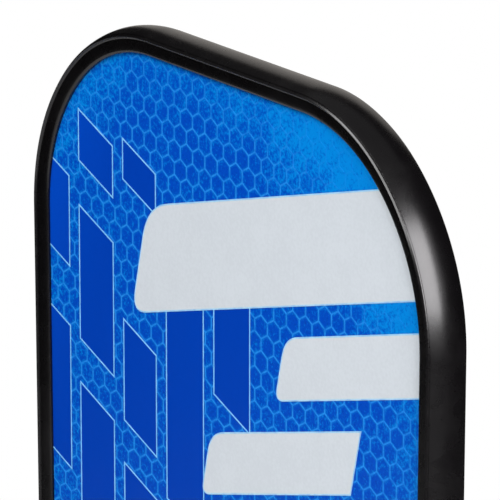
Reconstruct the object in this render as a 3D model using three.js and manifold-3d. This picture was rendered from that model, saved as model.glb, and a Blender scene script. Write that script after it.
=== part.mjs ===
// A pickleball paddle: a honeycomb panel with graphite faces, a moulded guard round its edge, and a
// handle built on the panel's own tang. Millimetres, +Z from the butt end to the top of the head,
// +X across the face and -Y out of the front face. The origin is the centre of the butt end.

import * as THREE from 'three';
import { mergeVertices } from 'three/addons/utils/BufferGeometryUtils.js';
import Module from 'manifold-3d';

const wasm = await Module();
wasm.setup();

// Driving dimensions of the whole paddle.
const LENGTH = 393.7;
const WIDTH = 206.4;
const GRIP_TOP = 127;
const THROAT_END = 132;

// The head's outer edge. Each corner at the top is two arcs, and each one at the bottom is one arc.
const TOP_ARC = { radius: 61, turn: 39.4 };
const CORNER_ARC_RADIUS = 69.7;
const SIDE_TAPER = 0.42;
const LOWER_CORNER_RADIUS = 64;
const SLOPE_HEADING = 158;
const THROAT_RADIUS = 28;
const ARC_STEP = 6.5;

// The panel, from the outside in.
const PANEL_HALF = 4.5;
const GRAPHIC_FILM = 0.15;
const FACE_SHEET = 0.45;
const ADHESIVE_FILM = 0.15;
const TANG_END = 4;
const FILM_END = THROAT_END - 0.2;

// The edge guard is a channel: its web covers the panel's edge and its two lips lie on the faces.
const GUARD_WEB = 1.9;
const TAPE = 0.2;
const BOND_GAP = 0.05;
const PANEL_INSET = GUARD_WEB + TAPE + 2 * BOND_GAP;
const LIP_REACH = 6.95;
const WALL_CROWN = 1.05;

// The bare handle is an octagon, and everything round it is that octagon grown by some amount.
const HANDLE_WIDTH = 30.9;
const HANDLE_DEPTH = 25.4;
const HANDLE_CHAMFER = 6.95;
const CORNER_EASE = 1.2;
const PALLET_TOP = THROAT_END - 0.5;
const PALLET_RAMP = { height: 4, drop: 3.2 };
const WRAP_THICKNESS = 1.8;
const FIT_GAP = 0.1;

// The butt cap and what is set into it.
const CAP_HEIGHT = 14;
const CAP_BASE = TANG_END;
const CAP_LIP_TOP = 3.2;
const BADGE = { grow: -2, low: 0.1, high: 1 };
const BADGE_CLEARANCE = 0.15;
const STAPLE = { width: 10, wire: 0.7, height: 1.1, leg: 5.4, z: 8.75, y: 14.35 };
const STAPLE_CLEARANCE = 0.2;

const group = new THREE.Group();

function material(color, roughness, metalness = 0) {
  return new THREE.MeshStandardMaterial({ color, roughness, metalness });
}

function addPart(name, geometry, partMaterial) {
  const mesh = new THREE.Mesh(geometry, partMaterial);
  mesh.name = name;
  group.add(mesh);
}

// ---------------------------------------------------------------- solids

function signedVolume(positions, triangles) {
  const corner = (index) => new THREE.Vector3().fromArray(positions, 3 * index);
  let volume = 0;
  for (const [a, b, c] of triangles) {
    volume += corner(a).dot(corner(b).cross(corner(c))) / 6;
  }
  return volume;
}

// A closed skin through rings of equally many points, with flat ends shaped like their sections.
function skin(rings, firstSection, lastSection) {
  const count = rings[0].length;
  const positions = rings.flat().flatMap((point) => point.toArray());
  const triangles = [];
  for (let i = 0; i + 1 < rings.length; i++) {
    for (let j = 0; j < count; j++) {
      const here = i * count + j;
      const next = i * count + ((j + 1) % count);
      triangles.push([here, next, next + count], [here, next + count, here + count]);
    }
  }
  const last = (rings.length - 1) * count;
  for (const [a, b, c] of THREE.ShapeUtils.triangulateShape(firstSection, [])) {
    triangles.push([c, b, a]);
  }
  for (const [a, b, c] of THREE.ShapeUtils.triangulateShape(lastSection, [])) {
    triangles.push([last + a, last + b, last + c]);
  }
  const outward = signedVolume(positions, triangles) > 0;
  const geometry = new THREE.BufferGeometry();
  geometry.setAttribute('position', new THREE.Float32BufferAttribute(positions, 3));
  geometry.setIndex(triangles.flatMap(([a, b, c]) => (outward ? [a, b, c] : [a, c, b])));
  return geometry;
}

function toSolid(geometry) {
  const bare = geometry.clone();
  bare.deleteAttribute('normal');
  bare.deleteAttribute('uv');
  const merged = mergeVertices(bare, 1e-5);
  return new wasm.Manifold(new wasm.Mesh({
    numProp: 3,
    vertProperties: new Float32Array(merged.attributes.position.array),
    triVerts: new Uint32Array(merged.index.array),
  }));
}

function toGeometry(solid) {
  const { vertProperties, triVerts, numProp } = solid.getMesh();
  const geometry = new THREE.BufferGeometry();
  const positions = [];
  for (let i = 0; i < vertProperties.length; i += numProp) {
    positions.push(vertProperties[i], vertProperties[i + 1], vertProperties[i + 2]);
  }
  geometry.setAttribute('position', new THREE.Float32BufferAttribute(positions, 3));
  geometry.setIndex([...triVerts]);
  return geometry;
}

function box(x0, x1, y0, y1, z0, z1) {
  const geometry = new THREE.BoxGeometry(x1 - x0, y1 - y0, z1 - z0);
  return geometry.translate((x0 + x1) / 2, (y0 + y1) / 2, (z0 + z1) / 2);
}

// ---------------------------------------------------------------- the edge of the head

// Walks straight runs and tangent arcs clockwise, and marks a station wherever the edge may bend.
// A heading of 0 is +X and 90 is down, and a negative turn is an arc that curves outwards.
function walkEdge(start, runs) {
  const stations = [];
  let { x, z, heading } = start;
  const mark = () => stations.push({ x, z, nx: Math.sin(heading), nz: Math.cos(heading) });
  mark();
  for (const { length = 0, radius = 0, turn = 0 } of runs) {
    if (length > 0) {
      x += length * Math.cos(heading);
      z -= length * Math.sin(heading);
      mark();
    }
    const steps = Math.ceil(Math.abs(turn) / THREE.MathUtils.degToRad(ARC_STEP));
    const bend = Math.sign(turn) * radius;
    for (let i = 0; i < steps; i++) {
      const next = heading + turn / steps;
      x += bend * (Math.sin(next) - Math.sin(heading));
      z += bend * (Math.cos(next) - Math.cos(heading));
      heading = next;
      mark();
    }
  }
  return stations;
}

// The right half of the guard's outer edge. The two straight runs take up what the arcs leave
// between the top of the head and the throat.
function headEdge() {
  const quarter = Math.PI / 2;
  const topTurn = THREE.MathUtils.degToRad(TOP_ARC.turn);
  const side = quarter + THREE.MathUtils.degToRad(SIDE_TAPER);
  const slope = THREE.MathUtils.degToRad(SLOPE_HEADING);
  const topFlat = WIDTH / 2 - TOP_ARC.radius * Math.sin(topTurn)
    - CORNER_ARC_RADIUS * (1 - Math.sin(topTurn));
  const arcs = [
    { radius: TOP_ARC.radius, from: 0, to: topTurn },
    { radius: CORNER_ARC_RADIUS, from: topTurn, to: side },
    { radius: LOWER_CORNER_RADIUS, from: side, to: slope },
    { radius: -THROAT_RADIUS, from: slope, to: quarter },
  ];
  const arcsX = arcs.reduce((sum, a) => sum + a.radius * (Math.sin(a.to) - Math.sin(a.from)), 0);
  const arcsZ = arcs.reduce((sum, a) => sum + a.radius * (Math.cos(a.to) - Math.cos(a.from)), 0);
  const leftX = HANDLE_WIDTH / 2 + PANEL_INSET - topFlat - arcsX;
  const leftZ = THROAT_END - LENGTH - arcsZ;
  const determinant = Math.sin(slope - side);
  const sideLength = (leftX * -Math.sin(slope) - leftZ * Math.cos(slope)) / -determinant;
  const slopeLength = (leftZ * Math.cos(side) + leftX * Math.sin(side)) / -determinant;
  return walkEdge({ x: 0, z: LENGTH, heading: 0 }, [
    { length: topFlat, radius: TOP_ARC.radius, turn: topTurn },
    { radius: CORNER_ARC_RADIUS, turn: side - topTurn },
    { length: sideLength, radius: LOWER_CORNER_RADIUS, turn: slope - side },
    { length: slopeLength, radius: THROAT_RADIUS, turn: quarter - slope },
  ]);
}

const rightEdge = headEdge();
const leftEdge = rightEdge.slice(1).reverse().map((s) => ({ ...s, x: -s.x, nx: -s.nx }));
const edge = [...leftEdge, ...rightEdge];

const offsetPoint = (station, out) => new THREE.Vector2(
  station.x + out * station.nx,
  station.z + out * station.nz,
);

// A flat layer of the panel between two depths, down to the given height in the handle.
function panelLayer(yLow, yHigh, bottom) {
  const outline = edge.map((station) => offsetPoint(station, -PANEL_INSET));
  if (bottom < THROAT_END) {
    outline.push(new THREE.Vector2(HANDLE_WIDTH / 2, bottom));
    outline.push(new THREE.Vector2(-HANDLE_WIDTH / 2, bottom));
  }
  const geometry = new THREE.ExtrudeGeometry(new THREE.Shape(outline), {
    depth: yHigh - yLow,
    bevelEnabled: false,
  });
  return geometry.rotateX(Math.PI / 2).translate(0, yHigh, 0);
}

// A section swept round the head. Its points are (distance out from the edge, depth across).
function sweepRoundHead(section) {
  const rings = edge.map((station) => section.map(({ x: out, y }) => {
    const point = offsetPoint(station, out);
    return new THREE.Vector3(point.x, y, point.y);
  }));
  return skin(rings, section, section);
}

// ---------------------------------------------------------------- panel

const filmIn = PANEL_HALF - GRAPHIC_FILM;
const sheetIn = filmIn - FACE_SHEET;
const coreHalf = sheetIn - ADHESIVE_FILM;

addPart('honeycomb_core', panelLayer(-coreHalf, coreHalf, TANG_END), material(0xc9a866, 0.9));
for (const [name, side] of [['front', -1], ['rear', 1]]) {
  const layer = (inner, outer, bottom) => {
    const depths = [side * inner, side * outer].sort((a, b) => a - b);
    return panelLayer(depths[0], depths[1], bottom);
  };
  addPart(`${name}_adhesive_film`, layer(coreHalf, sheetIn, TANG_END), material(0xb98a2e, 0.4));
  addPart(`${name}_face_sheet`, layer(sheetIn, filmIn, TANG_END), material(0x1c1d20, 0.45));
  addPart(`${name}_graphic_film`, layer(filmIn, PANEL_HALF, FILM_END), material(0x0350b4, 0.35));
}

// ---------------------------------------------------------------- edge guard

// One lip and half of the web: a bevelled inner edge, a nearly flat land, a fine raised bead, a
// narrow groove and the shoulder, given as [distance out from the edge, height over the face].
const lip = [
  [-LIP_REACH, 1.15],
  [-LIP_REACH + 0.25, 1.5],
  [-2.6, 1.75],
  [-2.45, 2.2],
  [-2.1, 2.35],
  [-1.8, 2.2],
  [-1.65, 1.65],
  [-1.45, 1.65],
  [-1.35, 1.95],
];

// The crowned outer wall between the two shoulders.
function wallPoint(share) {
  const height = PANEL_HALF + 1.75;
  return new THREE.Vector2(-WALL_CROWN * share ** 2, height * share);
}

function guardSection() {
  const front = lip.map(([out, height]) => new THREE.Vector2(out, -PANEL_HALF - height));
  const rear = [...front].reverse().map(({ x, y }) => new THREE.Vector2(x, -y));
  const wall = [-1, -0.75, -0.5, -0.25, 0, 0.25, 0.5, 0.75, 1].map(wallPoint);
  return [
    new THREE.Vector2(-LIP_REACH, -PANEL_HALF),
    ...front,
    ...wall,
    ...rear,
    new THREE.Vector2(-LIP_REACH, PANEL_HALF),
    new THREE.Vector2(-GUARD_WEB, PANEL_HALF),
    new THREE.Vector2(-GUARD_WEB, -PANEL_HALF),
  ];
}

function tapeSection() {
  const outer = -GUARD_WEB - BOND_GAP;
  const half = PANEL_HALF - 2 * BOND_GAP;
  const corners = [[outer - TAPE, -half], [outer, -half], [outer, half], [outer - TAPE, half]];
  return corners.map(([out, y]) => new THREE.Vector2(out, y));
}

addPart('edge_guard', sweepRoundHead(guardSection()), material(0x131315, 0.42));
addPart('edge_bonding_tape', sweepRoundHead(tapeSection()), material(0xd9d6cc, 0.7));

// ---------------------------------------------------------------- handle

// The bare handle's octagon, grown all round, with each corner eased by a short curve.
function octagon(grow) {
  const x = HANDLE_WIDTH / 2 + grow;
  const y = HANDLE_DEPTH / 2 + grow;
  const chamfer = HANDLE_CHAMFER + (2 - Math.SQRT2) * grow;
  const corners = [
    [x, y - chamfer], [x - chamfer, y], [chamfer - x, y], [-x, y - chamfer],
    [-x, chamfer - y], [chamfer - x, -y], [x - chamfer, -y], [x, chamfer - y],
  ].map(([cx, cy]) => new THREE.Vector2(cx, cy));
  const shape = new THREE.Shape();
  corners.forEach((corner, i) => {
    const towards = (other) => other.clone().sub(corner).setLength(CORNER_EASE).add(corner);
    const before = towards(corners[(i + 7) % 8]);
    const after = towards(corners[(i + 1) % 8]);
    if (i === 0) {
      shape.moveTo(before.x, before.y);
    } else {
      shape.lineTo(before.x, before.y);
    }
    shape.quadraticCurveTo(corner.x, corner.y, after.x, after.y);
  });
  return shape.getPoints(2);
}

// An octagonal solid through levels, each a [height, growth over the bare handle].
function octagonLoft(levels) {
  const sections = levels.map(([, grow]) => octagon(grow));
  const rings = sections.map((section, i) => section.map(
    (point) => new THREE.Vector3(point.x, point.y, levels[i][0]),
  ));
  return skin(rings, sections[0], sections[sections.length - 1]);
}

function sleeve(outerLevels, innerLevels) {
  return toSolid(octagonLoft(outerLevels)).subtract(toSolid(octagonLoft(innerLevels)));
}

// A staple on the front of the butt cap: a crown and two legs that point into the handle. With
// clearance it is the pocket that the staple sits in, open to the outside.
function stapleSolid(clearance) {
  const half = STAPLE.width / 2 + clearance;
  const low = STAPLE.z - STAPLE.height / 2 - clearance;
  const high = STAPLE.z + STAPLE.height / 2 + clearance;
  const inner = -STAPLE.y + STAPLE.wire + clearance;
  const outer = -STAPLE.y - (clearance > 0 ? 2 : 0);
  const tip = -STAPLE.y + STAPLE.wire + STAPLE.leg + clearance;
  const legInner = STAPLE.width / 2 - STAPLE.wire - clearance;
  const crown = toSolid(box(-half, half, outer, inner, low, high));
  return [[-half, -legInner], [legInner, half]].reduce(
    (solid, [x0, x1]) => solid.add(toSolid(box(x0, x1, outer, tip, low, high))),
    crown,
  );
}

const toRear = (solid) => toSolid(toGeometry(solid).rotateZ(Math.PI));

function palletSolid() {
  const rampLow = PALLET_TOP - PALLET_RAMP.height;
  const full = HANDLE_DEPTH / 2;
  const profile = new THREE.Shape([
    new THREE.Vector2(-filmIn, TANG_END),
    new THREE.Vector2(-full - 1, TANG_END),
    new THREE.Vector2(-full - 1, rampLow),
    new THREE.Vector2(-full, rampLow),
    new THREE.Vector2(-full + PALLET_RAMP.drop, PALLET_TOP),
    new THREE.Vector2(-filmIn, PALLET_TOP),
  ]);
  const slab = new THREE.ExtrudeGeometry(profile, { depth: 2 * HANDLE_WIDTH, bevelEnabled: false });
  slab.applyMatrix4(new THREE.Matrix4().makeBasis(
    new THREE.Vector3(0, 1, 0),
    new THREE.Vector3(0, 0, 1),
    new THREE.Vector3(1, 0, 0),
  ));
  slab.translate(-HANDLE_WIDTH, 0, 0);
  const bar = toSolid(octagonLoft([[TANG_END, 0], [PALLET_TOP, 0]]));
  return bar.intersect(toSolid(slab)).subtract(stapleSolid(STAPLE_CLEARANCE));
}

const pallet = palletSolid();
addPart('handle_pallet_front', toGeometry(pallet), material(0xc8a06a, 0.75));
addPart('handle_pallet_rear', toGeometry(toRear(pallet)), material(0xc8a06a, 0.75));

// ---------------------------------------------------------------- butt cap

const capSkirt = { low: 2.6, high: 1 };
const stapleFront = stapleSolid(0);
const pocketFront = stapleSolid(STAPLE_CLEARANCE);
const cap = sleeve(
  [[0, 3.5], [0.9, 4.35], [2.5, 4.35], [CAP_LIP_TOP, 3.9], [CAP_LIP_TOP, capSkirt.low],
    [CAP_HEIGHT, capSkirt.high]],
  [[CAP_BASE, FIT_GAP], [CAP_HEIGHT + 1, FIT_GAP]],
);
const badgeRecess = toSolid(octagonLoft([
  [-1, BADGE.grow + BADGE_CLEARANCE],
  [BADGE.high, BADGE.grow + BADGE_CLEARANCE],
]));
const cutCap = cap.subtract(badgeRecess).subtract(pocketFront).subtract(toRear(pocketFront));
addPart('butt_cap', toGeometry(cutCap), material(0x17181a, 0.5));
addPart(
  'butt_cap_badge',
  octagonLoft([[BADGE.low, BADGE.grow], [BADGE.high, BADGE.grow]]),
  material(0x0a55b8, 0.3),
);
addPart('butt_cap_staple_front', toGeometry(stapleFront), material(0xb9bcc0, 0.35, 1));
addPart('butt_cap_staple_rear', toGeometry(toRear(stapleFront)), material(0xb9bcc0, 0.35, 1));

// ---------------------------------------------------------------- grip

const capClearance = 0.15;
const wrap = sleeve(
  [[CAP_LIP_TOP + 0.2, 4.1], [8, 3.2], [16, 2.15], [26, WRAP_THICKNESS], [GRIP_TOP, WRAP_THICKNESS]],
  [
    [CAP_LIP_TOP, capSkirt.low + capClearance],
    [CAP_HEIGHT, capSkirt.high + capClearance],
    [CAP_HEIGHT + 0.2, capSkirt.high + capClearance],
    [CAP_HEIGHT + 2, FIT_GAP],
    [GRIP_TOP + 1, FIT_GAP],
  ],
);
addPart('grip_wrap', toGeometry(wrap), material(0x1a1a1c, 0.7));

const tapeBand = { low: 115, high: GRIP_TOP, inner: WRAP_THICKNESS + 0.05, outer: 2.1 };
const finishingTape = sleeve(
  [[tapeBand.low, tapeBand.outer], [tapeBand.high, tapeBand.outer]],
  [[tapeBand.low - 1, tapeBand.inner], [tapeBand.high + 1, tapeBand.inner]],
);
addPart('grip_finishing_tape', toGeometry(finishingTape), material(0x0e0e10, 0.35));

const collarTop = THROAT_END - 0.5;
const collar = sleeve(
  [[119.5, 3], [120.3, 3.5], [127.8, 3.4], [130.6, 2.6], [collarTop, 2]],
  [[118, 2.15], [127.6, 2.15], [collarTop, 0.56], [collarTop + 1, 0.15]],
);
addPart('grip_collar', toGeometry(collar), material(0x151516, 0.55));

export default group;
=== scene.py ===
"""A pickleball paddle: printed graphite faces, a moulded black edge guard and a wrapped handle.

Lengths in this script are millimetres in the CAD frame, and MM turns them into Blender's metres.
Only the camera's distance and the lights' distances and sizes are metres.
"""

import math

import bpy
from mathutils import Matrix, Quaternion, Vector
from mathutils.geometry import tessellate_polygon


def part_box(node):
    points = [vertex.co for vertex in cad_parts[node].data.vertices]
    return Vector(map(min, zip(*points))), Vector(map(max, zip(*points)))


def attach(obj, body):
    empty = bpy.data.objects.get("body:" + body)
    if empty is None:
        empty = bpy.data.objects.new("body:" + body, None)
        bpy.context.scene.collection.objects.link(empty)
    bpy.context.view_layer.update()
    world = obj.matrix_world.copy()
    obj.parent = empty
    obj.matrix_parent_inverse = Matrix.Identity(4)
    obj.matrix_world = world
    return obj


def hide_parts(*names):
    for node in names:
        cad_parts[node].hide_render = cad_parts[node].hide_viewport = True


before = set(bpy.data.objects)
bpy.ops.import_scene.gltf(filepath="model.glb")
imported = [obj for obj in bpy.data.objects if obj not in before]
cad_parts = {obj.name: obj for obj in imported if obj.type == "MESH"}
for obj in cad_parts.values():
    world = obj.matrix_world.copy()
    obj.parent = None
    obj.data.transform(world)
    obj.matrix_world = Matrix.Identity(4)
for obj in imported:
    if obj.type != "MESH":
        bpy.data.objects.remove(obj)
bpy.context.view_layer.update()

MM = 0.001
QUARTER = math.pi / 2


def node_box(node):
    """A CAD node's lowest and highest corners, in millimetres."""
    low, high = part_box(node)
    return low / MM, high / MM


# ---------------------------------------------------------------- sizes

guard_low, guard_high = node_box("edge_guard")
film_low, _ = node_box("front_graphic_film")
_, core_high = node_box("honeycomb_core")
pallet_low, pallet_high = node_box("handle_pallet_front")
wrap_low, wrap_high = node_box("grip_wrap")
collar_low, _ = node_box("grip_collar")
_, cap_high = node_box("butt_cap")
badge_low, badge_high = node_box("butt_cap_badge")

TOP = guard_high.z
HALF_WIDTH = guard_high.x
THROAT_END = guard_low.z
FACE = -film_low.y
HANDLE_HALF_WIDTH = pallet_high.x
HANDLE_HALF_DEPTH = -pallet_low.y
PANEL_INSET = HALF_WIDTH - core_high.x

# The head's outer edge: straight runs and arcs that meet tangentially, as in the CAD model.
TOP_ARC_RADIUS = 61
TOP_ARC_TURN = math.radians(39.4)
CORNER_ARC_RADIUS = 69.7
SIDE_HEADING = math.radians(90.42)
LOWER_CORNER_RADIUS = 64
SLOPE_HEADING = math.radians(158)
THROAT_RADIUS = 28


# ---------------------------------------------------------------- the edge of the head

def walk_edge(start, runs, step):
    """Walks straight runs and tangent arcs clockwise and returns (x, z, outward x, outward z)."""
    x, z, heading = start
    stations = [(x, z, math.sin(heading), math.cos(heading))]
    for length, radius, turn in runs:
        if length:
            x += length * math.cos(heading)
            z -= length * math.sin(heading)
            stations.append((x, z, math.sin(heading), math.cos(heading)))
        steps = math.ceil(abs(turn) / math.radians(step))
        bend = math.copysign(radius, turn)
        for _ in range(steps):
            following = heading + turn / steps
            x += bend * (math.sin(following) - math.sin(heading))
            z += bend * (math.cos(following) - math.cos(heading))
            heading = following
            stations.append((x, z, math.sin(heading), math.cos(heading)))
    return stations


def head_edge(step):
    """The guard's outer edge, from the throat's left side over the top to its right side."""
    top_flat = (HALF_WIDTH - TOP_ARC_RADIUS * math.sin(TOP_ARC_TURN)
                - CORNER_ARC_RADIUS * (1 - math.sin(TOP_ARC_TURN)))
    arcs = [
        (TOP_ARC_RADIUS, 0, TOP_ARC_TURN),
        (CORNER_ARC_RADIUS, TOP_ARC_TURN, SIDE_HEADING),
        (LOWER_CORNER_RADIUS, SIDE_HEADING, SLOPE_HEADING),
        (-THROAT_RADIUS, SLOPE_HEADING, QUARTER),
    ]
    arcs_x = sum(r * (math.sin(b) - math.sin(a)) for r, a, b in arcs)
    arcs_z = sum(r * (math.cos(b) - math.cos(a)) for r, a, b in arcs)
    left_x = HANDLE_HALF_WIDTH + PANEL_INSET - top_flat - arcs_x
    left_z = THROAT_END - TOP - arcs_z
    across = math.sin(SLOPE_HEADING - SIDE_HEADING)
    side = (left_x * math.sin(SLOPE_HEADING) + left_z * math.cos(SLOPE_HEADING)) / across
    slope = -(left_z * math.cos(SIDE_HEADING) + left_x * math.sin(SIDE_HEADING)) / across
    right = walk_edge((0, TOP, 0), [
        (top_flat, TOP_ARC_RADIUS, TOP_ARC_TURN),
        (0, CORNER_ARC_RADIUS, SIDE_HEADING - TOP_ARC_TURN),
        (side, LOWER_CORNER_RADIUS, SLOPE_HEADING - SIDE_HEADING),
        (slope, THROAT_RADIUS, QUARTER - SLOPE_HEADING),
    ], step)
    return [(-x, z, -nx, nz) for x, z, nx, nz in reversed(right[1:])] + right


# ---------------------------------------------------------------- outlines

# A rounded corner takes up no more than this share of either side next to it.
MOST_OF_SIDE = 0.45


def signed_area(polygon):
    pairs = zip(polygon, polygon[1:] + polygon[:1])
    return sum(a[0] * b[1] - b[0] * a[1] for a, b in pairs) / 2


def anticlockwise(polygon):
    return list(polygon) if signed_area(polygon) > 0 else list(reversed(polygon))


def soften(polygon, reaches, steps):
    """Rounds a polygon's corners. Each reach says where its corner's curve starts and ends."""
    softened = []
    for i, (corner, reach) in enumerate(zip(polygon, reaches)):
        here = Vector(corner)
        if not reach:
            softened.append(tuple(here))
            continue
        before = Vector(polygon[i - 1]) - here
        after = Vector(polygon[(i + 1) % len(polygon)]) - here
        start = here + before.normalized() * min(reach, before.length * MOST_OF_SIDE)
        end = here + after.normalized() * min(reach, after.length * MOST_OF_SIDE)
        for k in range(steps + 1):
            t = k / steps
            softened.append(tuple((1 - t) ** 2 * start + 2 * t * (1 - t) * here + t * t * end))
    return softened


def clip(polygon, region):
    """The part of a convex polygon that lies inside a convex, anticlockwise region."""
    result = list(polygon)
    for (ax, az), (bx, bz) in zip(region, region[1:] + region[:1]):
        sides = [(bx - ax) * (z - az) - (bz - az) * (x - ax) for x, z in result]
        if min(sides, default=0) >= 0:
            continue
        kept = []
        for i, (p, side) in enumerate(zip(result, sides)):
            q = result[(i + 1) % len(result)]
            next_side = sides[(i + 1) % len(result)]
            if side >= 0:
                kept.append(p)
            if (side >= 0) != (next_side >= 0):
                t = side / (side - next_side)
                kept.append((p[0] + t * (q[0] - p[0]), p[1] + t * (q[1] - p[1])))
        result = kept
        if len(result) < 3:
            return []
    return result


def border(polygon, width):
    """Quads that together make a line of this width along the inside of a polygon."""
    corners = anticlockwise(polygon)
    count = len(corners)
    inner = []
    for i in range(count):
        here = Vector(corners[i])
        first = (here - Vector(corners[i - 1])).normalized()
        second = (Vector(corners[(i + 1) % count]) - here).normalized()
        normals = Vector((-first.y, first.x)) + Vector((-second.y, second.x))
        inner.append(tuple(here + normals * (width / (1 + first.dot(second)))))
    return [
        [corners[i], corners[(i + 1) % count], inner[(i + 1) % count], inner[i]]
        for i in range(count)
    ]


# ---------------------------------------------------------------- meshes

def mesh_of(name, points, faces):
    """A mesh from points in millimetres."""
    mesh = bpy.data.meshes.new(name)
    mesh.from_pydata([Vector(p) * MM for p in points], [], faces)
    mesh.update()
    return mesh


def outward(mesh):
    """Turns a closed mesh's faces so that they point out of it."""
    mesh.calc_loop_triangles()
    volume = 0.0
    for triangle in mesh.loop_triangles:
        a, b, c = (mesh.vertices[k].co for k in triangle.vertices)
        volume += a.dot(b.cross(c))
    if volume < 0:
        mesh.flip_normals()
    return mesh


def ring_skin(name, rings, closed=False, section=None):
    """A closed skin through rings of equally many points, shut at the ends or into a loop."""
    count = len(rings[0])
    points = [p for ring in rings for p in ring]
    spans = len(rings) if closed else len(rings) - 1
    faces = []
    for i in range(spans):
        here, there = i * count, (i + 1) % len(rings) * count
        for j in range(count):
            k = (j + 1) % count
            faces.append((here + j, here + k, there + k, there + j))
    if not closed:
        last = (len(rings) - 1) * count
        if section:
            flat = [[Vector((a, b, 0)) for a, b in section]]
            caps = [tuple(t) for t in tessellate_polygon(flat)]
        else:
            caps = [tuple(range(count))]
        # The first cap faces back along the rings, and the last one faces forward.
        turned = signed_area([(section or points)[k][:2] for k in caps[0]]) < 0
        whole = signed_area([p[:2] for p in (section or points[:count])]) < 0
        if turned != whole:
            caps = [tuple(reversed(cap)) for cap in caps]
        faces += [tuple(reversed(cap)) for cap in caps]
        faces += [tuple(last + k for k in cap) for cap in caps]
    return outward(mesh_of(name, points, faces))


def plates(name, polygons, low, high, side):
    """Flat plates over (x, z) polygons between two heights over a face.

    Polygons that share an edge become one solid. The front is side -1 and the rear is side 1,
    where the print is turned round so that it reads the same way.
    """
    index, flat, tops = {}, [], []
    for polygon in polygons:
        keys = []
        for x, z in anticlockwise(polygon):
            key = (round(x, 3), round(z, 3))
            if key not in index:
                index[key] = len(flat)
                flat.append((x, z))
            if index[key] not in keys:
                keys.append(index[key])
        if len(keys) > 2:
            tops.append(keys)
    edges = {(a, b) for keys in tops for a, b in zip(keys, keys[1:] + keys[:1])}
    count = len(flat)
    points = [(-side * x, side * (FACE + h), z) for h in (low, high) for x, z in flat]
    faces = [tuple(count + k for k in keys) for keys in tops]
    faces += [tuple(reversed(keys)) for keys in tops]
    faces += [(a, b, count + b, count + a) for a, b in sorted(edges) if (b, a) not in edges]
    return outward(mesh_of(name, points, faces))


def add_piece(name, mesh, material, smooth=True):
    """Links a mesh as a piece of the paddle."""
    piece = bpy.data.objects.new(name, mesh)
    bpy.context.scene.collection.objects.link(piece)
    mesh.materials.append(material)
    if smooth:
        mesh.polygons.foreach_set("use_smooth", [True] * len(mesh.polygons))
        mesh.set_sharp_from_angle(angle=math.radians(42))
        weighted = piece.modifiers.new("face_weights", "WEIGHTED_NORMAL")
        weighted.keep_sharp = True
    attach(piece, "root")
    return piece


# ---------------------------------------------------------------- materials

def rgb(red, green, blue):
    """A colour given as 0 to 255 on screen, in the linear values that shaders work in."""
    def linear(value):
        share = value / 255
        return share / 12.92 if share <= 0.04045 else ((share + 0.055) / 1.055) ** 2.4
    return (linear(red), linear(green), linear(blue), 1.0)


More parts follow.
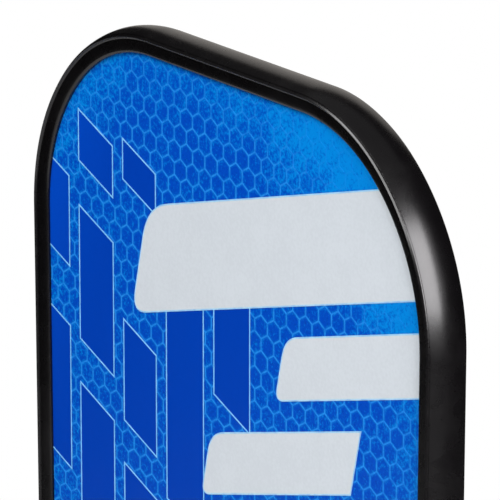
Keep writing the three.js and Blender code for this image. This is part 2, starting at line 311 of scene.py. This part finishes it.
class Nodes:
    """A short way to write a material's nodes. Sizes are millimetres."""

    def __init__(self, name):
        self.material = bpy.data.materials.new(name)
        self.material.use_nodes = True
        self.tree = self.material.node_tree
        self.bsdf = self.tree.nodes["Principled BSDF"]
        self.place = self.add("ShaderNodeTexCoord", output="Object")
        axes = self.tree.nodes.new("ShaderNodeSeparateXYZ")
        self.tree.links.new(self.place, axes.inputs[0])
        self.x, self.y, self.z = (self.math("MULTIPLY", axis, 1 / MM) for axis in axes.outputs)

    def add(self, kind, inputs=None, output=0, **settings):
        node = self.tree.nodes.new(kind)
        for key, value in settings.items():
            setattr(node, key, value)
        for key, value in (inputs or {}).items():
            self.put(node.inputs[key], value)
        return node.outputs[output]

    def put(self, socket, value):
        if isinstance(value, bpy.types.NodeSocket):
            self.tree.links.new(value, socket)
        else:
            socket.default_value = value

    def math(self, operation, *values):
        return self.add("ShaderNodeMath", dict(enumerate(values)), operation=operation)

    def ramp(self, value, low, high, to_low=0.0, to_high=1.0):
        """Eases from one value to another as the input goes from low to high."""
        return self.add("ShaderNodeMapRange", {0: value, 1: low, 2: high, 3: to_low, 4: to_high},
                        interpolation_type="SMOOTHSTEP")

    def noise(self, size, detail=2.0, roughness=0.5, place=None):
        """Noise whose features are about this many millimetres across."""
        return self.add("ShaderNodeTexNoise", {
            "Vector": place or self.place, "Scale": 1 / (size * MM), "Detail": detail,
            "Roughness": roughness,
        })

    def dots(self, size):
        """The distance to the nearest of many scattered points that are this far apart."""
        return self.add("ShaderNodeTexVoronoi", {
            "Vector": self.place, "Scale": 1 / (size * MM),
        }, output="Distance")

    def cell_edge(self, x, side, origin, start):
        """Goes from 0 inside a hexagonal cell to 1 at the lines between cells."""
        pitch = ROOT3 * side
        reaches = []
        for shift in (0.0, 0.5):
            across = self.math("DIVIDE", self.math("SUBTRACT", x, origin[0]), pitch)
            up = self.math("DIVIDE", self.math("SUBTRACT", self.z, origin[1]), pitch)
            a = self.math("ABSOLUTE", self.math("WRAP", across, 0.5 - shift, -0.5 - shift))
            b = self.math("ABSOLUTE", self.math("WRAP", up, (0.5 - shift) * ROOT3,
                                                (-0.5 - shift) * ROOT3))
            if shift:
                a = self.math("ABSOLUTE", self.math("SUBTRACT", 0.5, a))
                b = self.math("ABSOLUTE", self.math("SUBTRACT", ROOT3 / 2, b))
            slanted = self.math("ADD", self.math("MULTIPLY", a, 0.5),
                                self.math("MULTIPLY", b, ROOT3 / 2))
            reaches.append(self.math("MAXIMUM", a, slanted))
        return self.ramp(self.math("MINIMUM", *reaches), start, 0.47)

    def stretched(self, scale, turn=0.0):
        """The object's coordinates, turned about Y and then drawn out by a factor per axis."""
        return self.add("ShaderNodeMapping", {
            "Vector": self.place, "Scale": scale, "Rotation": (0, turn, 0),
        }, vector_type="TEXTURE")

    def mix(self, share, first, second):
        """A colour between two others."""
        node = self.tree.nodes.new("ShaderNodeMix")
        node.data_type = "RGBA"
        self.put(node.inputs[0], share)
        self.put(node.inputs[6], first)
        self.put(node.inputs[7], second)
        return node.outputs[2]

    def bump(self, height, depth, strength=1.0):
        """Bump whose height of 1 stands for this many millimetres."""
        return self.add("ShaderNodeBump", {
            "Strength": strength, "Distance": depth * MM, "Height": height,
        })

    def finish(self, colour, roughness, normal=None, metallic=0.0, specular=0.5):
        for key, value in (("Base Color", colour), ("Roughness", roughness),
                           ("Metallic", metallic), ("Specular IOR Level", specular)):
            self.put(self.bsdf.inputs[key], value)
        if normal is not None:
            self.put(self.bsdf.inputs["Normal"], normal)
        return self.material


def guard_material():
    """Satin moulded plastic with a fine even grain and a few rubbed patches."""
    n = Nodes("guard_plastic")
    rubbed = n.ramp(n.noise(24, detail=4, roughness=0.6), 0.5, 0.75)
    colour = n.mix(rubbed, rgb(5, 4, 5), rgb(9, 8, 9))
    roughness = n.math("ADD", n.ramp(n.noise(7, detail=4), 0.3, 0.7, 0.25, 0.28),
                       n.math("MULTIPLY", rubbed, 0.05))
    return n.finish(colour, roughness, n.bump(n.noise(0.5, detail=3), 0.004))


ROYAL = rgb(1, 74, 192)
DARK_ROYAL = rgb(0, 46, 150)
AZURE = rgb(3, 137, 225)
PALE_AZURE = rgb(44, 146, 236)
# The ground goes over to azure between these distances from a point on the face.
BLEND_CENTRE = (-25, 300)
BLEND_START, BLEND_END = 74, 124


def print_colours(n):
    """The printed ground's colour, and how much of it has gone over to azure.

    The rear's print is turned round, so that it reads the same way as the front's.
    """
    facing = n.math("SIGN", n.y)
    x = n.math("MULTIPLY", n.math("MULTIPLY", n.x, facing), -1.0)
    away = n.math("SQRT", n.math(
        "ADD",
        n.math("POWER", n.math("SUBTRACT", x, BLEND_CENTRE[0]), 2.0),
        n.math("POWER", n.math("SUBTRACT", n.z, BLEND_CENTRE[1]), 2.0),
    ))
    away = n.math("SUBTRACT", away, n.ramp(n.z, 345, 312, 0.0, 34.0))
    azure = n.ramp(n.math("ADD", away, n.math("MULTIPLY", n.noise(14, detail=3), 20.0)),
                   BLEND_START, BLEND_END)
    left = n.ramp(x, -45, -95)
    streaks = n.noise(3.5, detail=4, roughness=0.6, place=n.stretched((5, 1, 1), math.radians(-40)))
    fine = n.noise(1.15, detail=4, roughness=0.7)
    speck = n.math("ADD", n.math("MULTIPLY", fine, 0.72), n.math("MULTIPLY", streaks, 0.28))
    bias = n.math("ADD", n.math("MULTIPLY", azure, 0.19), n.math("MULTIPLY", left, 0.05))
    share = n.ramp(n.math("ADD", speck, bias), 0.49, 0.71)
    dark = n.ramp(n.noise(0.9, detail=3, roughness=0.7), 0.5, 0.7)
    deep = n.math("MULTIPLY", dark, n.math("SUBTRACT", 0.6, n.math("MULTIPLY", azure, 0.5)))
    cell = n.mix(deep, ROYAL, DARK_ROYAL)
    edge = n.cell_edge(x, CELL_SIDE, CELL_ORIGIN, 0.33)
    glow = n.math("MULTIPLY", edge, n.math("SUBTRACT", 0.3, n.math("MULTIPLY", azure, 0.3)))
    cell = n.mix(n.math("ADD", glow, n.math("MULTIPLY", azure, 0.2)), cell, AZURE)
    return n.mix(share, cell, AZURE), azure


def print_finish(n, colour, roughness=0.29):
    """The fine satin texture that covers the whole print."""
    grain = n.noise(0.45, detail=2)
    return n.finish(colour, n.ramp(n.noise(6, detail=3), 0.3, 0.7, roughness, roughness + 0.06),
                    n.bump(grain, 0.004), specular=0.08)


def ground_material():
    n = Nodes("print_ground")
    colour, _ = print_colours(n)
    return print_finish(n, colour)


def cell_line_material():
    n = Nodes("print_cell_lines")
    colour, azure = print_colours(n)
    worn = n.ramp(n.noise(2.2, detail=4, roughness=0.65), 0.35, 0.6, 0.35, 0.85)
    strength = n.math("MULTIPLY", worn, n.math("SUBTRACT", 1.0, n.math("MULTIPLY", azure, 0.85)))
    return print_finish(n, n.mix(strength, colour, PALE_AZURE))


def panel_material():
    """Deep blue, a little lighter towards the sides and the top."""
    n = Nodes("print_panels")
    outer = n.math("ADD", n.math("ABSOLUTE", n.x), n.math("MULTIPLY", n.z, 0.35))
    colour = n.mix(n.ramp(outer, 170, 235), rgb(0, 64, 180), rgb(2, 78, 205))
    fleck = n.math("MULTIPLY", n.noise(1.3, detail=3), 0.16)
    return print_finish(n, n.mix(fleck, colour, rgb(0, 44, 140)))


def line_material(name, colour):
    n = Nodes(name)
    worn = n.ramp(n.noise(3, detail=3), 0.3, 0.7, 0.0, 0.35)
    return print_finish(n, n.mix(worn, colour, AZURE))


def pale_material():
    """Off-white ink with a faint cloudiness."""
    n = Nodes("print_pale")
    cloth = n.math("ADD", n.math("MULTIPLY", n.noise(1.1, detail=4), 0.6),
                   n.math("MULTIPLY", n.noise(9, detail=3), 0.4))
    colour = n.mix(n.ramp(cloth, 0.36, 0.64), rgb(208, 215, 221), rgb(213, 220, 226))
    return print_finish(n, colour, 0.4)


def wrap_material():
    """Black synthetic leather with rows of pinholes along the tape, and a fine grain. The pinholes
    are painted near black as shade.
    """
    n = Nodes("grip_leather")
    angle = n.math("ARCTAN2", n.y, n.x)
    along = n.math("MULTIPLY", angle, WRAP_HOLES / (2 * math.pi))
    across = n.math("MULTIPLY", n.math("SUBTRACT", n.math("DIVIDE", n.z, WRAP_PITCH),
                                       n.math("DIVIDE", angle, 2 * math.pi)), WRAP_ROWS)
    gaps = [n.math("WRAP", value, 0.5, -0.5) for value in (along, across)]
    reach = n.math("SQRT", n.math("ADD", n.math("MULTIPLY", gaps[0], gaps[0]),
                                  n.math("MULTIPLY", gaps[1], gaps[1])))
    pinhole_and_shade = n.ramp(reach, 0.17, 0.1)
    grain = n.dots(0.9)
    wear = n.ramp(n.noise(18, detail=4), 0.4, 0.7)
    colour = n.mix(wear, rgb(22, 22, 23), rgb(33, 32, 33))
    # The pinholes get a near-black colour: painted shade in the holes.
    colour = n.mix(pinhole_and_shade, colour, rgb(4, 4, 4))
    height = n.math("SUBTRACT", n.math("MULTIPLY", grain, 0.2), pinhole_and_shade)
    roughness = n.ramp(n.noise(5, detail=4), 0.3, 0.7, 0.5, 0.64)
    return n.finish(colour, roughness, n.bump(height, 0.35))


def collar_material():
    n = Nodes("collar_rubber")
    colour = n.mix(n.ramp(n.noise(7, detail=4), 0.4, 0.7), rgb(20, 20, 20), rgb(30, 30, 30))
    return n.finish(colour, n.ramp(n.noise(3, detail=3), 0.3, 0.7, 0.5, 0.6),
                    n.bump(n.noise(0.4, detail=3), 0.01))


def cap_material():
    """Spark-eroded black plastic, a little polished where it gets knocked."""
    n = Nodes("cap_plastic")
    knocked = n.ramp(n.noise(5, detail=5, roughness=0.6), 0.5, 0.7)
    colour = n.mix(knocked, rgb(18, 18, 19), rgb(29, 28, 28))
    return n.finish(colour, n.ramp(knocked, 0, 1, 0.5, 0.4), n.bump(n.dots(0.5), 0.03, 0.7))


def badge_material():
    n = Nodes("badge_plastic")
    radial = n.math("SQRT", n.math("ADD", n.math("MULTIPLY", n.x, n.x),
                                   n.math("MULTIPLY", n.y, n.y)))
    colour = n.mix(n.ramp(radial, 3, 14), rgb(4, 92, 205), rgb(1, 58, 165))
    colour = n.mix(n.math("MULTIPLY", n.noise(1.2, detail=3), 0.15), colour, rgb(0, 40, 130))
    return n.finish(colour, n.ramp(n.noise(4, detail=3), 0.3, 0.7, 0.12, 0.2),
                    n.bump(n.noise(3), 0.01))


def core_material():
    """Resin-dipped aramid paper: the walls of small hexagonal cells round mouths that are painted
    darker as shade.
    """
    n = Nodes("aramid_core")
    wall = n.cell_edge(n.x, 1.85, (0, 0), 0.38)
    resin = n.ramp(n.noise(6, detail=4), 0.3, 0.7)
    paper = n.mix(resin, rgb(196, 160, 96), rgb(214, 182, 120))
    # Inside the cells the colour goes to dark brown: painted shade in the cells' mouths.
    return n.finish(n.mix(wall, rgb(120, 88, 40), paper), 0.75, n.bump(wall, 0.4))


def adhesive_material():
    n = Nodes("adhesive_resin")
    colour = n.mix(n.ramp(n.noise(5, detail=4), 0.35, 0.65), rgb(176, 130, 46), rgb(196, 150, 62))
    return n.finish(colour, 0.3, n.bump(n.noise(2.5, detail=3), 0.04))


def graphite_material():
    """A twill of carbon tows, crossing over one another under clear resin."""
    n = Nodes("graphite_laminate")
    tow = 1.6
    first = n.math("FLOOR", n.math("DIVIDE", n.x, tow))
    second = n.math("FLOOR", n.math("DIVIDE", n.z, tow))
    over = n.math("GREATER_THAN", n.math("WRAP", n.math("ADD", first, second), 4.0, 0.0), 1.5)
    upright = n.noise(0.5, detail=3, place=n.stretched((1, 1, 12)))
    level = n.noise(0.5, detail=3, place=n.stretched((12, 1, 1)))
    strand = n.math("ADD", n.math("MULTIPLY", upright, over),
                    n.math("MULTIPLY", level, n.math("SUBTRACT", 1.0, over)))
    colour = n.mix(n.ramp(strand, 0.35, 0.65), rgb(16, 17, 19), rgb(40, 42, 46))
    return n.finish(colour, n.math("MULTIPLY_ADD", over, 0.1, 0.26), n.bump(strand, 0.05))


def bonding_tape_material():
    n = Nodes("bonding_tape")
    fibres = n.noise(0.6, detail=4, place=n.stretched((1, 6, 1)))
    colour = n.mix(n.ramp(fibres, 0.35, 0.65), rgb(206, 202, 190), rgb(226, 223, 214))
    return n.finish(colour, 0.7, n.bump(fibres, 0.03))


def wood_material():
    """Planed basswood with its grain along the handle."""
    n = Nodes("pallet_wood")
    rings = n.noise(3.2, detail=3, place=n.stretched((1, 1, 14)))
    bands = n.math("ABSOLUTE", n.math("SINE", n.math("MULTIPLY", rings, 26.0)))
    pores = n.ramp(n.noise(0.5, detail=3, place=n.stretched((1, 1, 20))), 0.5, 0.7)
    colour = n.mix(bands, rgb(214, 178, 126), rgb(196, 154, 102))
    colour = n.mix(n.math("MULTIPLY", pores, 0.6), colour, rgb(152, 112, 68))
    return n.finish(colour, n.ramp(bands, 0, 1, 0.55, 0.68),
                    n.bump(n.math("SUBTRACT", bands, pores), 0.05))


def steel_material():
    n = Nodes("staple_steel")
    drawn = n.noise(0.3, detail=3, place=n.stretched((10, 1, 1)))
    colour = n.mix(drawn, (0.5, 0.5, 0.52, 1), (0.66, 0.66, 0.67, 1))
    return n.finish(colour, n.ramp(drawn, 0.3, 0.7, 0.28, 0.42), n.bump(drawn, 0.01),
                    metallic=1.0)


def vinyl_material():
    n = Nodes("vinyl_tape")
    stretch = n.noise(1.5, detail=3, place=n.stretched((6, 6, 1)))
    colour = n.mix(n.ramp(stretch, 0.35, 0.65), rgb(16, 16, 17), rgb(26, 26, 27))
    return n.finish(colour, n.ramp(stretch, 0.3, 0.7, 0.26, 0.4), n.bump(stretch, 0.03))


# ---------------------------------------------------------------- edge guard

LIP_REACH = 7.6
GUARD_WEB = 1.9
WALL_CROWN = 1.56
WALL_HALF = FACE + 2
WALL_STEPS = 12
# The wall sits this much behind the panel's middle, so the rear lip is taller by twice as much.
WALL_SHIFT = 0.25
REAR_EXTRA = 2 * WALL_SHIFT
LIP_ROUND, WALL_EDGE_ROUND, CROWN_ROUND, WEB_ROUND = 0.11, 0.05, 0.3, 0.2
# (distance out from the edge, height over the face), from the lip's rim over the bead to the wall.
LIP = [
    (-LIP_REACH, 0.6),
    (-7.48, 0.98),
    (-7.2, 1.26),
    (-6.75, 1.47),
    (-6.1, 1.62),
    (-5.3, 1.71),
    (-3.1, 1.76),
    (-2.75, 2.0),
    (-2.55, 2.42),
    (-2.36, 2.61),
    (-1.83, 2.04),
    (-1.77, 1.66),
    (-1.64, 1.62),
]


def guard_section():
    """(distance out from the edge, depth): two lips, the crowned wall and the channel inside."""
    front = [(out, -FACE - height) for out, height in LIP]
    wall = [(-WALL_CROWN * s * s, WALL_SHIFT + WALL_HALF * s)
            for s in (k / WALL_STEPS for k in range(-WALL_STEPS, WALL_STEPS + 1))]
    rear = [(out, REAR_EXTRA - y) for out, y in reversed(front)]
    outside = [(-LIP_REACH, -FACE)] + front + wall + rear + [(-LIP_REACH, FACE)]
    inside = [(-GUARD_WEB, FACE), (-GUARD_WEB, -FACE)]
    lip = [LIP_ROUND] * len(LIP)
    crown = [WALL_EDGE_ROUND] + [CROWN_ROUND] * (len(wall) - 2) + [WALL_EDGE_ROUND]
    reaches = [0] + lip + crown + lip + [0, WEB_ROUND, WEB_ROUND]
    return soften(outside + inside, reaches, steps=3)


def make_guard():
    section = guard_section()
    rings = [[(x + out * nx, y, z + out * nz) for out, y in section]
             for x, z, nx, nz in head_edge(1.5)]
    mesh = ring_skin("guard_channel", rings, section=section)
    guard = add_piece("guard_channel", mesh, guard_material())
    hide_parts("edge_guard")


# ---------------------------------------------------------------- printed faces

# Each layer's lowest and highest point over the face, thinner than the film under it.
CELL_LINES = (0.0, 0.02)
PANELS = (0.0, 0.05)
PANEL_LINES = (0.0, 0.08)
BARS = (0.0, 0.11)
BAR_LINES = (0.0, 0.13)

CELL_SIDE = 3.6874
CELL_ORIGIN = (-5.38, 331.34)
CELL_LINE = 0.52
ROOT3 = math.sqrt(3)

BAR_SLOPE = math.tan(math.radians(15.7))
BAR_LEAN = 0.25
BAR_GAP = 9.5
BAR_LINE = 0.45
# Of a bar's height: how far its lower and its upper left corner are rounded.
BAR_ROUND_LOW, BAR_ROUND_HIGH = 0.24, 0.32
# From the top bar down: left end, right end and height. The right ends are cut off by the guard.
FIRST_BAR_LOW = 315.9
BEYOND = 2 * HALF_WIDTH
BAR_SPANS = [
    (-50.8, BEYOND, 34.4), (24, BEYOND, 20), (-14, 62, 20), (40, BEYOND, 20), (-24, BEYOND, 14),
]

PANEL_LINE = 0.5
SLAT_CUT = 0.42
# Columns of slats: left side, right side and the lowest and highest point of each slat.
SLAT_COLUMNS = [
    (-118, -84.5, [(150, 236), (241, 303), (308, 352)]),
    (-79.5, -60.5, [(166, 272), (278, 330), (336, 361)]),
    (-55.5, -37.5, [(150, 252), (258, 299), (336, 357)]),
    (-32.5, -12.5, [(176, 232), (238, 340)]),
    (-7.5, 11.5, [(160, 210), (279, 340)]),
]
# The prints end this much under the guard's lips.
UNDER_LIP = 0.05


def print_region():
    """The convex part of the face between the guard's lips, down to the throat."""
    low = THROAT_END + THROAT_RADIUS
    inner = LIP_REACH - UNDER_LIP
    points = [(x - inner * nx, z - inner * nz) for x, z, nx, nz in head_edge(3)]
    return anticlockwise([p for p in points if p[1] > low])


REGION = print_region()


def cell_lines():
    """The lines between hexagonal cells: a quad along each side and a triangle at each corner."""
    x0, z0 = CELL_ORIGIN
    low = min(z for _, z in REGION) - 2 * CELL_SIDE
    polygons = []
    reach = CELL_LINE / ROOT3
    spokes = [(math.sin(math.radians(a)), math.cos(math.radians(a))) for a in (180, 60, 300)]
    for j in range(-12, 32):
        for i in range(-36, 37):
            x = x0 + ROOT3 * CELL_SIDE * (i + (j % 2) / 2)
            z = z0 - 1.5 * CELL_SIDE * j
            if abs(x) > HALF_WIDTH + CELL_SIDE or not low < z < TOP + CELL_SIDE:
                continue
            top = (x, z + CELL_SIDE)
            right = (x + ROOT3 / 2 * CELL_SIDE, z + CELL_SIDE / 2)
            polygons.append([(top[0] + reach * a, top[1] + reach * b) for a, b in spokes])
            polygons.append([(right[0] - reach * a, right[1] - reach * b) for a, b in spokes])
            ends = [top, (right[0], right[1] - CELL_SIDE), (x + ROOT3 * CELL_SIDE, top[1])]
            for end in ends:
                dx, dz = (end[0] - right[0]) / CELL_SIDE, (end[1] - right[1]) / CELL_SIDE
                corners = []
                for place, along, across in ((right, 1, 1), (right, 1, -1), (end, -1, -1),
                                             (end, -1, 1)):
                    step = along * reach / 2
                    aside = across * CELL_LINE / 2
                    corners.append((place[0] + dx * step - dz * aside,
                                    place[1] + dz * step + dx * aside))
                polygons.append(corners)
    return polygons


def bar(left, right, low, height):
    """A bar that rises to the right. Its low side passes through `low` where x is 0."""
    def corner(x, over):
        foot = x + BAR_LEAN * over
        return (foot, low + foot * BAR_SLOPE + over)
    corners = [corner(left, 0), corner(right, 0), corner(right, height), corner(left, height)]
    reaches = [BAR_ROUND_LOW * height, 0, 0, BAR_ROUND_HIGH * height]
    return soften(anticlockwise(corners), reaches, steps=10)


def bars():
    """The pale bars from the top down: each starts further left or right than the one above."""
    shapes = []
    low = FIRST_BAR_LOW + BAR_SPANS[0][2] + BAR_GAP
    for left, right, height in BAR_SPANS:
        low -= BAR_GAP + height
        shapes.append(bar(left, right, low, height))
    return shapes


def slat(left, right, low, high):
    """An upright slat whose two ends slope down to the right."""
    drop = (right - left) * SLAT_CUT
    return anticlockwise([
        (left, low + drop), (right, low), (right, high - drop), (left, high),
    ])


def slats():
    """Deep blue slats in columns, with a channel of the ground left between them."""
    return [slat(left, right, low, high)
            for left, right, rows in SLAT_COLUMNS for low, high in rows]


def clipped(polygons):
    """What lies on the printed region of each polygon."""
    kept = (clip(anticlockwise(polygon), REGION) for polygon in polygons)
    return [polygon for polygon in kept if len(polygon) > 2 and signed_area(polygon) > 1e-3]


def make_prints():
    """The printed ground on both films, and the layers over it on both faces."""
    ground = ground_material()
    for node in ("front_graphic_film", "rear_graphic_film"):
        dress(node, ground)
    bar_shapes = bars()
    slat_shapes = slats()
    layers = [
        ("cell_lines", clipped(cell_lines()), CELL_LINES, cell_line_material()),
        ("panels", clipped(slat_shapes), PANELS, panel_material()),
        ("panel_lines", clipped([q for s in slat_shapes for q in border(s, PANEL_LINE)]),
         PANEL_LINES, line_material("print_panel_lines", rgb(140, 208, 255))),
        ("bars", clipped(bar_shapes), BARS, pale_material()),
        ("bar_lines", clipped([q for s in bar_shapes for q in border(s, BAR_LINE)]),
         BAR_LINES, line_material("print_bar_lines", rgb(176, 222, 246))),
    ]
    for side, face in ((-1, "front"), (1, "rear")):
        for layer, polygons, (low, high), material in layers:
            name = f"{face}_print_{layer}"
            mesh = plates(name, polygons, low, high, side)
            add_piece(name, mesh, material, smooth=False)


def dress(node, material):
    """Gives a carried-over CAD node its material."""
    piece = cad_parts[node]
    if not piece.material_slots:
        piece.data.materials.append(None)
    piece.material_slots[0].link = "OBJECT"
    piece.material_slots[0].material = material


# ---------------------------------------------------------------- handle

HANDLE_CHAMFER = 6.95
WRAP_THICKNESS = 1.8
WRAP_PITCH = 22
WRAP_ROWS = 5
WRAP_HOLES = 26
TAPE_LOW = 115
# The grip widens over the butt cap's skirt, by this much in all and up to this height.
FLARE_DEPTH, FLARE_HEIGHT = 2.3, 22.6
COLLAR_GROOVES = (122.3, 124.3, 126.3)
RING_POINTS = 120


def octagon(grow, angle, sharp, half_depth=None):
    """How far the handle's octagon, grown all round, reaches at an angle.

    Half_depth, where given, is the front's and the rear's instead. Sharp sets the corners.
    """
    slanted = (HANDLE_HALF_WIDTH + HANDLE_HALF_DEPTH - HANDLE_CHAMFER) / math.sqrt(2)
    flats = [HANDLE_HALF_WIDTH + grow, slanted + grow, HANDLE_HALF_DEPTH + grow, slanted + grow]
    if half_depth:
        flats[2] = half_depth
    total = 0.0
    for k in range(8):
        facing = math.cos(angle - k * math.pi / 4)
        if facing > 0:
            total += (facing / flats[k % 4]) ** sharp
    return total ** (-1 / sharp)


def octagon_ring(z, grow, half_depth=None, sharp=30):
    """A ring round the handle. Its growth is a number, or a function of the angle."""
    ring = []
    for k in range(RING_POINTS):
        angle = 2 * math.pi * k / RING_POINTS
        growth = grow(angle) if callable(grow) else grow
        reach = octagon(growth, angle, sharp, half_depth)
        ring.append((reach * math.cos(angle), reach * math.sin(angle), z))
    return ring


def ease_between(value, low, high):
    """Goes from 0 at the low value to 1 at the high one, without a kink at either."""
    share = min(max((value - low) / (high - low), 0), 1)
    return share * share * (3 - 2 * share)


def wrap_ripple(angle, z):
    """How much the wound tape stands over its mean: each turn lies on the edge of the last one."""
    turn = (z / WRAP_PITCH - angle / (2 * math.pi)) % 1
    rise = ease_between(turn, 0, 0.05) - ease_between(turn, 0.97, 1.0) * 0.15
    height = -0.4 + 0.85 * rise * (1 - 0.75 * turn)
    held = ease_between(z, 4, 10) * (1 - ease_between(z, TAPE_LOW - 5, TAPE_LOW - 0.5))
    return height * held


def wrap_flare(z):
    """The grip's mean thickness, which widens over the butt cap's skirt."""
    share = max(0.0, 1 - (z - wrap_low.z) / FLARE_HEIGHT)
    return WRAP_THICKNESS + FLARE_DEPTH * share ** 2


def make_wrap():
    low, high = wrap_low.z, wrap_high.z
    steps = 250
    rings = [octagon_ring(low, 2.85, sharp=60)]
    for k in range(steps + 1):
        z = low + (high - low) * k / steps
        rounding = 0.5 * (1 - ease_between(z, low, low + 1.2))
        rings.append(octagon_ring(
            z, lambda angle: wrap_flare(z) + wrap_ripple(angle, z) - rounding))
    rings.append(octagon_ring(high, 0.1, sharp=60))
    rings += [octagon_ring(z, grow, sharp=60) for z, grow in ((16, 0.1), (14.2, 1.15), (14, 1.15))]
    wrap = add_piece("grip_spiral", ring_skin("grip_spiral", rings, closed=True),
                     wrap_material())
    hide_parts("grip_wrap")


def make_collar():
    low = collar_low.z
    outer = [(low, 2.6), (low + 0.1, 3.0), (low + 0.4, 3.3), (low + 0.9, 3.48)]
    for groove in COLLAR_GROOVES:
        outer += [(groove - 0.5, 3.5), (groove - 0.35, 3.42), (groove - 0.2, 3.15),
                  (groove, 3.05), (groove + 0.2, 3.15), (groove + 0.35, 3.42),
                  (groove + 0.5, 3.5)]
    outer += [(127.8, 3.4), (128.8, 3.15), (129.8, 2.85), (130.6, 2.5), (131.2, 2.1),
              (THROAT_END - 0.3, 1.5), (THROAT_END - 0.15, 0.8)]
    rings = [octagon_ring(z, grow) for z, grow in outer]
    # The top closes in over the pallets' ramps, up to the panel.
    rings += [octagon_ring(z, grow, half_depth, sharp=60) for z, grow, half_depth in (
        (THROAT_END - 0.15, 0.1, FACE + 0.1), (THROAT_END - 0.45, 0.1, FACE + 0.1),
        (THROAT_END - 0.45, 0.2, 9.8), (127.5, 0.3, None), (127.3, 2.15, None),
        (low, 2.15, None))]
    collar = add_piece("grip_band", ring_skin("grip_band", rings, closed=True),
                       collar_material())
    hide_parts("grip_collar")


def make_butt():
    recess = badge_high.z
    profile = [
        (recess, -1.85), (0.2, -1.85), (0.05, -1.8), (0, -1.6), (0, 2.9), (0.1, 3.35),
        (0.35, 3.85), (0.7, 4.15), (1.1, 4.32), (1.6, 4.35), (2.1, 4.33), (2.6, 4.2),
        (3.0, 3.95), (3.2, 3.6), (3.2, 2.6), (cap_high.z - 0.3, 1.05), (cap_high.z, 0.8),
        (cap_high.z, 0.1), (4, 0.1),
    ]
    rings = [octagon_ring(z, grow, sharp=26) for z, grow in profile]
    cap = add_piece("butt_moulding", ring_skin("butt_moulding", rings),
                    cap_material())
    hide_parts("butt_cap")
    dome = [(recess, -2), (0.5, -2), (0.35, -2.05), (0.24, -2.25), (0.17, -2.7), (0.12, -4),
            (badge_low.z, -7)]
    rings = [octagon_ring(z, grow, sharp=26) for z, grow in dome]
    badge = add_piece("butt_inlay", ring_skin("butt_inlay", rings), badge_material())
    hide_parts("butt_cap_badge")


def dress_inner_parts():
    """Materials for the CAD nodes that are shown as they are."""
    for nodes, material in (
        (["honeycomb_core"], core_material()),
        (["front_adhesive_film", "rear_adhesive_film"], adhesive_material()),
        (["front_face_sheet", "rear_face_sheet"], graphite_material()),
        (["edge_bonding_tape"], bonding_tape_material()),
        (["handle_pallet_front", "handle_pallet_rear"], wood_material()),
        (["butt_cap_staple_front", "butt_cap_staple_rear"], steel_material()),
        (["grip_finishing_tape"], vinyl_material()),
    ):
        for node in nodes:
            dress(node, material)


make_guard()
make_prints()
make_wrap()
make_collar()
make_butt()
dress_inner_parts()


# ---------------------------------------------------------------- camera, light and floor

AZIMUTH = math.radians(54.155)
ELEVATION = math.radians(16.98)
DISTANCE = 1.668
LOOK_AT = Vector((11.35, -FACE, TOP - 56.35)) * MM
LENS, SENSOR = 403.2, 36
FLOOR_RADIUS = 600
WORLD_LIGHT = 0.015


def place_camera():
    back = Vector((
        math.sin(AZIMUTH) * math.cos(ELEVATION),
        -math.cos(AZIMUTH) * math.cos(ELEVATION),
        math.sin(ELEVATION),
    ))
    data = bpy.data.cameras.new("camera")
    data.lens = LENS
    data.sensor_width = SENSOR
    data.clip_start = 0.05
    data.clip_end = 20
    camera = bpy.data.objects.new("camera", data)
    bpy.context.scene.collection.objects.link(camera)
    camera.location = LOOK_AT + back * DISTANCE
    camera.rotation_euler = back.to_track_quat("Z", "Y").to_euler()
    bpy.context.scene.camera = camera


def softbox(name, direction, distance, size, radiance, colour=(1, 1, 1), roll=0):
    """A rectangular light in a direction from the head, as bright as the radiance says."""
    width, height = size
    data = bpy.data.lights.new(name, "AREA")
    data.shape = "RECTANGLE"
    data.size, data.size_y = width, height
    data.energy = radiance * width * height * math.pi
    data.color = colour
    light = bpy.data.objects.new(name, data)
    bpy.context.scene.collection.objects.link(light)
    towards = Vector(direction).normalized()
    light.location = LOOK_AT + towards * distance
    turn = Quaternion((0, 0, 1), math.radians(roll))
    light.rotation_euler = (towards.to_track_quat("Z", "Y") @ turn).to_euler()


def make_world():
    """White where the camera sees it, and a dim grey as light and in reflections."""
    world = bpy.data.worlds.new("studio")
    world.use_nodes = True
    tree = world.node_tree
    background = tree.nodes["Background"]
    background.inputs[0].default_value = (1, 1, 1, 1)
    path = tree.nodes.new("ShaderNodeLightPath")
    strength = tree.nodes.new("ShaderNodeMapRange")
    strength.inputs[3].default_value = WORLD_LIGHT
    strength.inputs[4].default_value = 1.0
    tree.links.new(path.outputs["Is Camera Ray"], strength.inputs[0])
    tree.links.new(strength.outputs[0], background.inputs[1])
    bpy.context.scene.world = world


def make_floor():
    n = Nodes("floor_pale")
    material = n.finish(n.mix(n.noise(30, detail=3), (0.55, 0.55, 0.55, 1), (0.59, 0.59, 0.59, 1)),
                        0.8)
    steps = 96
    turn = 2 * math.pi / steps
    points = [(FLOOR_RADIUS * math.cos(k * turn), FLOOR_RADIUS * math.sin(k * turn), 0)
              for k in range(steps)]
    mesh = mesh_of("floor", points, [tuple(range(steps))])
    mesh.materials.append(material)
    floor = bpy.data.objects.new("floor", mesh)
    bpy.context.scene.collection.objects.link(floor)


place_camera()
make_world()
make_floor()
softbox("front_fill", (0.035, -0.667, 0.744), 1.8, (2.38, 0.44), 10.6, roll=-30)
softbox("ceiling", (-0.15, -0.05, 0.99), 1.6, (2.2, 2.2), 0.17)
softbox("key_right", (0.915, -0.064, 0.39), 1.5, (1.09, 1.21), 10.6, (1.0, 0.98, 1.0))
softbox("key_halo", (0.94, 0.03, 0.42), 1.6, (1.8, 1.2), 1.1, (1.0, 0.97, 1.0))
softbox("backdrop", (-0.66, 0.73, 0.175), 1.5, (1.02, 1.12), 0.56, (1.0, 0.94, 0.88))
bpy.context.scene.view_settings.view_transform = "Standard"
